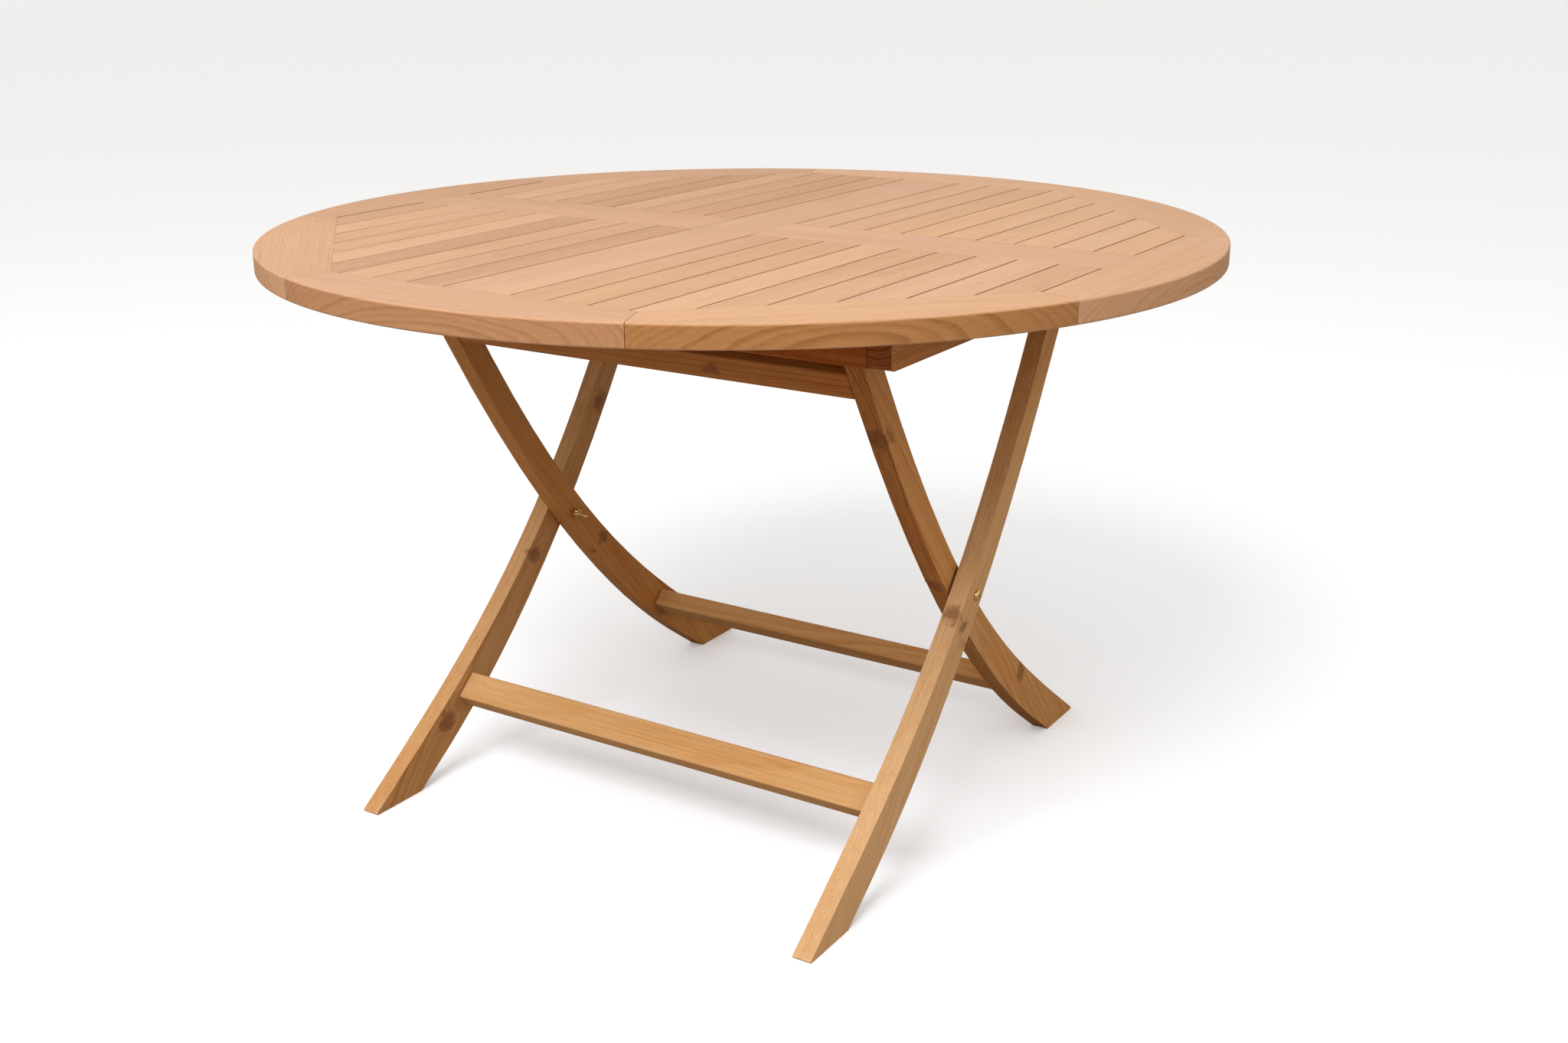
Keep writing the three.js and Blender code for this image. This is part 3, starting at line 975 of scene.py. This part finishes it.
class PICNIC_OT_bolts(bpy.types.Operator):
    """Make the pivot bolts, hinge bolts and the washers between the legs"""

    bl_idname = "picnic.bolts"
    bl_label = "Bolts and Washers"

    def execute(self, context):
        brass = context.scene.picnic_brass
        for side, sign in (("right", 1), ("left", -1)):
            for kind, body, threads in BOLTS:
                node = f"{kind}_bolt_{side}"
                low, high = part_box(node)
                centre = (low + high) / 2
                seat = reach_of(node, sign)[1] - HEAD_HEIGHT
                profile, hexed = bolt_profile((high.z - low.z) / 2, high.x - low.x - HEAD_HEIGHT,
                                              brass.thread_pitch, threads)
                shape = bmesh.new()
                lathe(shape, profile, (sign * seat, centre.y, centre.z), sign, 36, hexed)
                name = node + "_turned"
                place_piece(name, turned_mesh(shape, name), body, "brass", [node])
            centre = sum(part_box(f"pivot_bolt_{side}"), Vector()) / 2
            profile = washer_profile(brass.washer_radius,
                                     reach_of(f"inner_leg_{side}", sign)[1] + WASHER_GAP,
                                     reach_of(f"outer_leg_{side}", sign)[0] - WASHER_GAP)
            shape = bmesh.new()
            lathe(shape, profile, (0, centre.y, centre.z), sign, 48)
            bmesh.ops.remove_doubles(shape, verts=shape.verts, dist=BRASS_MERGE)
            name = f"washer_{side}"
            place_piece(name, turned_mesh(shape, name), "outer_frame", "brass")
        return {"FINISHED"}


NUT_TURNS = {"right": -50, "left": -33}     # from level, in degrees
# From the leg outwards and back along the bore, as (radius, height).
HUB_PROFILE = (
    (0.0043, 0), (0.0063, 0), (0.0067, 0.0005), (0.0062, 0.0045), (0.0056, 0.0086),
    (0.0052, 0.009), (0.0043, 0.009), (0.0043, 0),
)
WING_ROOT = 0.0049               # a wing starts this far from the bolt's axis, inside the hub
HUB_EDGE = 0.0065
WING_SPAN = 0.015
WING_RISE = 0.015
HUB_HEIGHT = 0.009
WING_FOOT = 0.0015               # clearance between a wing and the leg
WING_HALF = 0.0015               # half a wing's thickness
WING_ARRIS = 0.0009
CURVE_STEPS = 8


def wing_outline(way):
    """One wing of a nut seen flat, as (across, height) points."""
    foot = (HUB_EDGE + 0.001, WING_FOOT)
    side = (WING_SPAN, WING_RISE - 0.004)
    tip = (WING_SPAN - 0.004, WING_RISE)
    points = [(WING_ROOT, WING_FOOT), foot]
    curves = ((foot, (WING_SPAN - 0.002, 0.005), side),
              (side, (WING_SPAN, WING_RISE), tip),
              (tip, (HUB_EDGE - 0.0005, HUB_HEIGHT + 0.002), (WING_ROOT, HUB_HEIGHT - 0.001)))
    for start, pull, stop in curves:
        for step in range(1, CURVE_STEPS + 1):
            t = step / CURVE_STEPS
            points.append(tuple(
                (1 - t) ** 2 * a + 2 * t * (1 - t) * b + t * t * c
                for a, b, c in zip(start, pull, stop)))
    return [(way * across, up) for across, up in points]


def wings_shape():
    """Both wings of a nut, standing out along -X."""
    shape = bmesh.new()
    for way in (1, -1):
        outline = wing_outline(way)
        back, front = ([shape.verts.new((-up, across, side)) for across, up in outline]
                       for side in (-WING_HALF, WING_HALF))
        shape.faces.new(back)
        shape.faces.new(front)
        wall(shape, back, front)
    bmesh.ops.recalc_face_normals(shape, faces=shape.faces)
    return shape


class PICNIC_OT_wing_nuts(bpy.types.Operator):
    """Make the wing nuts on the pivot bolts"""

    bl_idname = "picnic.wing_nuts"
    bl_label = "Wing Nuts"

    def execute(self, context):
        for side, sign in (("right", 1), ("left", -1)):
            node = f"wing_nut_{side}"
            shape = bmesh.new()
            lathe(shape, HUB_PROFILE, (0, 0, 0), -1)
            bmesh.ops.remove_doubles(shape, verts=shape.verts, dist=BRASS_MERGE)
            nut = add_object("work_" + node, turned_mesh(shape, node + "_hub"))
            wings = add_object("work_wings_" + node,
                               rounded(wings_shape(), node + "_wings", WING_ARRIS))
            union = nut.modifiers.new("Join the wings", "BOOLEAN")
            union.operation = "UNION"
            union.solver = "EXACT"
            union.object = wings
            mesh = finished_mesh(nut, node + "_cast")
            bpy.data.objects.remove(wings)
            pivot = sum(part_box(f"pivot_bolt_{side}"), Vector()) / 2
            pivot.x = sign * reach_of(node, sign)[1]
            turn = Matrix.Rotation(math.radians(NUT_TURNS[side]), 4, "X")
            mesh.transform(Matrix.Translation(pivot) @ turn @ Matrix.Diagonal((sign, 1, 1, 1)))
            if sign < 0:
                mesh.flip_normals()
            place_piece(node + "_cast", mesh, node, "brass", [node])
        return {"FINISHED"}


# ---- screws under the top ------------------------------------------------------------------------


SCREWS = 6                       # in each row
SCREW_HEAD = 0.0004              # thickness of a head
SLOT_HEIGHT = 0.0006             # height of the cutter for its cross
SCREW_PROUD = 0.0001             # how far a head's middle lies below the wood
BATTEN_INSETS = (0.055, 0.075)   # from a batten's near and far end to its first and last screw
BAR_INSET = 0.06


def screw_tree():
    """Countersunk screw heads at points along a straight line, facing down."""
    tree, graph, size = start_tree("Screw row", (
        ("Start", "Vector"), ("End", "Vector"), ("Count", "Int"), ("Head Radius", "Float"),
        ("Seed", "Int"), ("Material", "Material")))
    radius = size["Head Radius"]
    line = graph.node("GeometryNodeMeshLine", {"mode": "END_POINTS"}, {
        "Count": size["Count"], "Start Location": size["Start"], "Offset": size["End"]})
    head = graph.node("GeometryNodeMeshCylinder", {"fill_type": "NGON"}, {
        "Vertices": 24, "Radius": radius, "Depth": SCREW_HEAD}, "Mesh")
    slot_size = graph.join(radius * 1.3, radius * 0.26, SLOT_HEIGHT)
    bars = []
    for turn in (0.0, math.pi / 2):
        bar = graph.node("GeometryNodeMeshCube", inputs={"Size": slot_size}, output="Mesh")
        bars.append(graph.node("GeometryNodeTransform", inputs={
            "Geometry": bar, "Rotation": (0.0, 0.0, turn),
            "Translation": (0.0, 0.0, -SCREW_HEAD / 2)}))
    cross = tree.nodes.new("GeometryNodeMeshBoolean")
    cross.operation = "DIFFERENCE"
    graph.feed(cross.inputs["Mesh 1"], head)
    for bar in bars:
        tree.links.new(bar.socket, cross.inputs["Mesh 2"])
    head = Value(graph, cross.outputs["Mesh"])
    spin = graph.node("FunctionNodeRandomValue", {"data_type": "FLOAT"}, {
        "Min": 0.0, "Max": math.pi, "Seed": size["Seed"]}, "Value")
    rows = graph.node("GeometryNodeInstanceOnPoints", inputs={
        "Points": line, "Instance": head, "Rotation": graph.join(0.0, 0.0, spin)})
    solid = graph.node("GeometryNodeRealizeInstances", inputs={"Geometry": rows})
    end_tree(graph, solid, size["Material"])
    return tree


class PICNIC_OT_screws(bpy.types.Operator):
    """Make the countersunk screws under the battens and the near bar"""

    bl_idname = "picnic.screws"
    bl_label = "Screws"

    def execute(self, context):
        rows = []
        for side in ("right", "left"):
            low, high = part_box(f"batten_{side}")
            middle = (low.x + high.x) / 2
            rows.append((f"batten_screws_{side}",
                         (middle, low.y + BATTEN_INSETS[0], low.z - SCREW_PROUD),
                         (middle, high.y - BATTEN_INSETS[1], low.z - SCREW_PROUD)))
        low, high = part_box("near_bar")
        middle = (low.y + high.y) / 2
        rows.append(("near_bar_screws", (low.x + BAR_INSET, middle, low.z - SCREW_PROUD),
                     (high.x - BAR_INSET, middle, low.z - SCREW_PROUD)))
        tree = screw_tree()
        for index, (name, start, end) in enumerate(rows):
            mesh = run_tree(tree, name, {
                "Start": start, "End": end, "Count": SCREWS,
                "Head Radius": context.scene.picnic_brass.screw_radius,
                "Seed": SEED + index, "Material": finish_of("brass")})
            place_piece(name, mesh, "table_top", "brass")
        return {"FINISHED"}


# ---- studio --------------------------------------------------------------------------------------


SENSOR = 36.0                    # width of the camera's sensor in millimetres
FLOOR_RADIUS = 40.0
FLOOR_DROP = 0.0002              # gap between the feet and the floor
BLACK = (0.0, 0.0, 0.0, 1.0)
WHITE = (1.0, 1.0, 1.0, 1.0)
LIGHTS_AIM = Vector((0.0, 0.0, 0.4))
# Each light's name, the setting with its power, its diameter and its place.
LIGHTS = (
    ("Overhead", "overhead", 2.6, Vector((0.2, -2.8, 3.2))),
    ("Right side", "side", 2.4, Vector((3.2, -0.6, 1.5))),
)


def seen_directly(graph):
    """1 where the surround or the floor is seen, 0 where it only lights the table."""
    return graph.node("ShaderNodeLightPath", output="Is Camera Ray")


class PICNIC_OT_studio(bpy.types.Operator):
    """Set up the camera, the pale floor and the soft lights"""

    bl_idname = "picnic.studio"
    bl_label = "Studio"

    def execute(self, context):
        studio = context.scene.picnic_studio
        az, el, roll = studio.azimuth, studio.elevation, studio.roll
        back = Vector((math.sin(az) * math.cos(el), -math.cos(az) * math.cos(el), math.sin(el)))
        right = Vector((math.cos(az), math.sin(az), 0))
        up = back.cross(right)
        across = right * math.cos(roll) + up * math.sin(roll)
        upward = up * math.cos(roll) - right * math.sin(roll)
        camera = add_object("Camera", bpy.data.cameras.new("Camera"))
        camera.data.sensor_width = SENSOR
        camera.data.lens = studio.lens
        camera.rotation_mode = "QUATERNION"
        camera.rotation_quaternion = Matrix((across, upward, back)).transposed().to_quaternion()
        camera.location = studio.position
        context.scene.camera = camera
        context.scene.view_settings.view_transform = "Standard"

        material, graph, shader = new_material("Pale studio floor")
        shader.inputs["Roughness"].default_value = 0.9
        graph.feed(shader.inputs["Base Color"], graph.mix(
            seen_directly(graph), rgba(studio.bounce), rgba(studio.floor_color)))
        graph.feed(shader.inputs["Emission Color"], graph.mix(
            seen_directly(graph), BLACK, WHITE))
        shader.inputs["Emission Strength"].default_value = studio.floor_glow
        shape = bmesh.new()
        bmesh.ops.create_circle(shape, cap_ends=True, radius=FLOOR_RADIUS, segments=64)
        mesh = bpy.data.meshes.new("floor")
        shape.to_mesh(mesh)
        shape.free()
        mesh.materials.append(material)
        floor = add_object("floor", mesh)
        floor.location.z = -FLOOR_DROP

        world = bpy.data.worlds.new("White surround")
        world.use_nodes = True
        graph = Graph(world.node_tree)
        seen = seen_directly(graph)
        surround = world.node_tree.nodes["Background"]
        graph.feed(surround.inputs["Color"], graph.mix(seen, rgba(studio.sky_color), WHITE))
        graph.feed(surround.inputs["Strength"], seen + (1.0 - seen) * studio.sky)
        context.scene.world = world
        for name, power, diameter, place in LIGHTS:
            light = bpy.data.lights.new(name, "AREA")
            light.shape = "DISK"
            light.size = diameter
            light.energy = getattr(studio, power)
            lamp = add_object(name, light)
            lamp.location = place
            lamp.rotation_mode = "QUATERNION"
            lamp.rotation_quaternion = (LIGHTS_AIM - place).to_track_quat("-Z", "Y")
        return {"FINISHED"}


# ---- panel and start -----------------------------------------------------------------------------

OPERATORS = (
    PICNIC_OT_rails, PICNIC_OT_slats, PICNIC_OT_ring, PICNIC_OT_under_bars, PICNIC_OT_leg_frames,
    PICNIC_OT_bolts, PICNIC_OT_wing_nuts, PICNIC_OT_screws, PICNIC_OT_studio,
)


class PICNIC_PT_table(bpy.types.Panel):
    """Lists the steps that build the table"""

    bl_idname = "PICNIC_PT_table"
    bl_label = "Picnic Table"
    bl_space_type = "VIEW_3D"
    bl_region_type = "UI"
    bl_category = "Picnic Table"

    def draw(self, context):
        for name, group in SETTINGS.items():
            for key in group.__annotations__:
                self.layout.prop(getattr(context.scene, name), key)
        for operator in OPERATORS:
            self.layout.operator(operator.bl_idname)


def register():
    for name, group in SETTINGS.items():
        bpy.utils.register_class(group)
        setattr(bpy.types.Scene, name, bpy.props.PointerProperty(type=group))
    for operator in OPERATORS:
        bpy.utils.register_class(operator)
    bpy.utils.register_class(PICNIC_PT_table)


def unregister():
    bpy.utils.unregister_class(PICNIC_PT_table)
    for operator in reversed(OPERATORS):
        bpy.utils.unregister_class(operator)
    for name, group in SETTINGS.items():
        delattr(bpy.types.Scene, name)
        bpy.utils.unregister_class(group)


def main():
    register()
    for operator in OPERATORS:
        getattr(bpy.ops.picnic, operator.bl_idname.split(".")[1])()


if __name__ == "__main__":
    main()
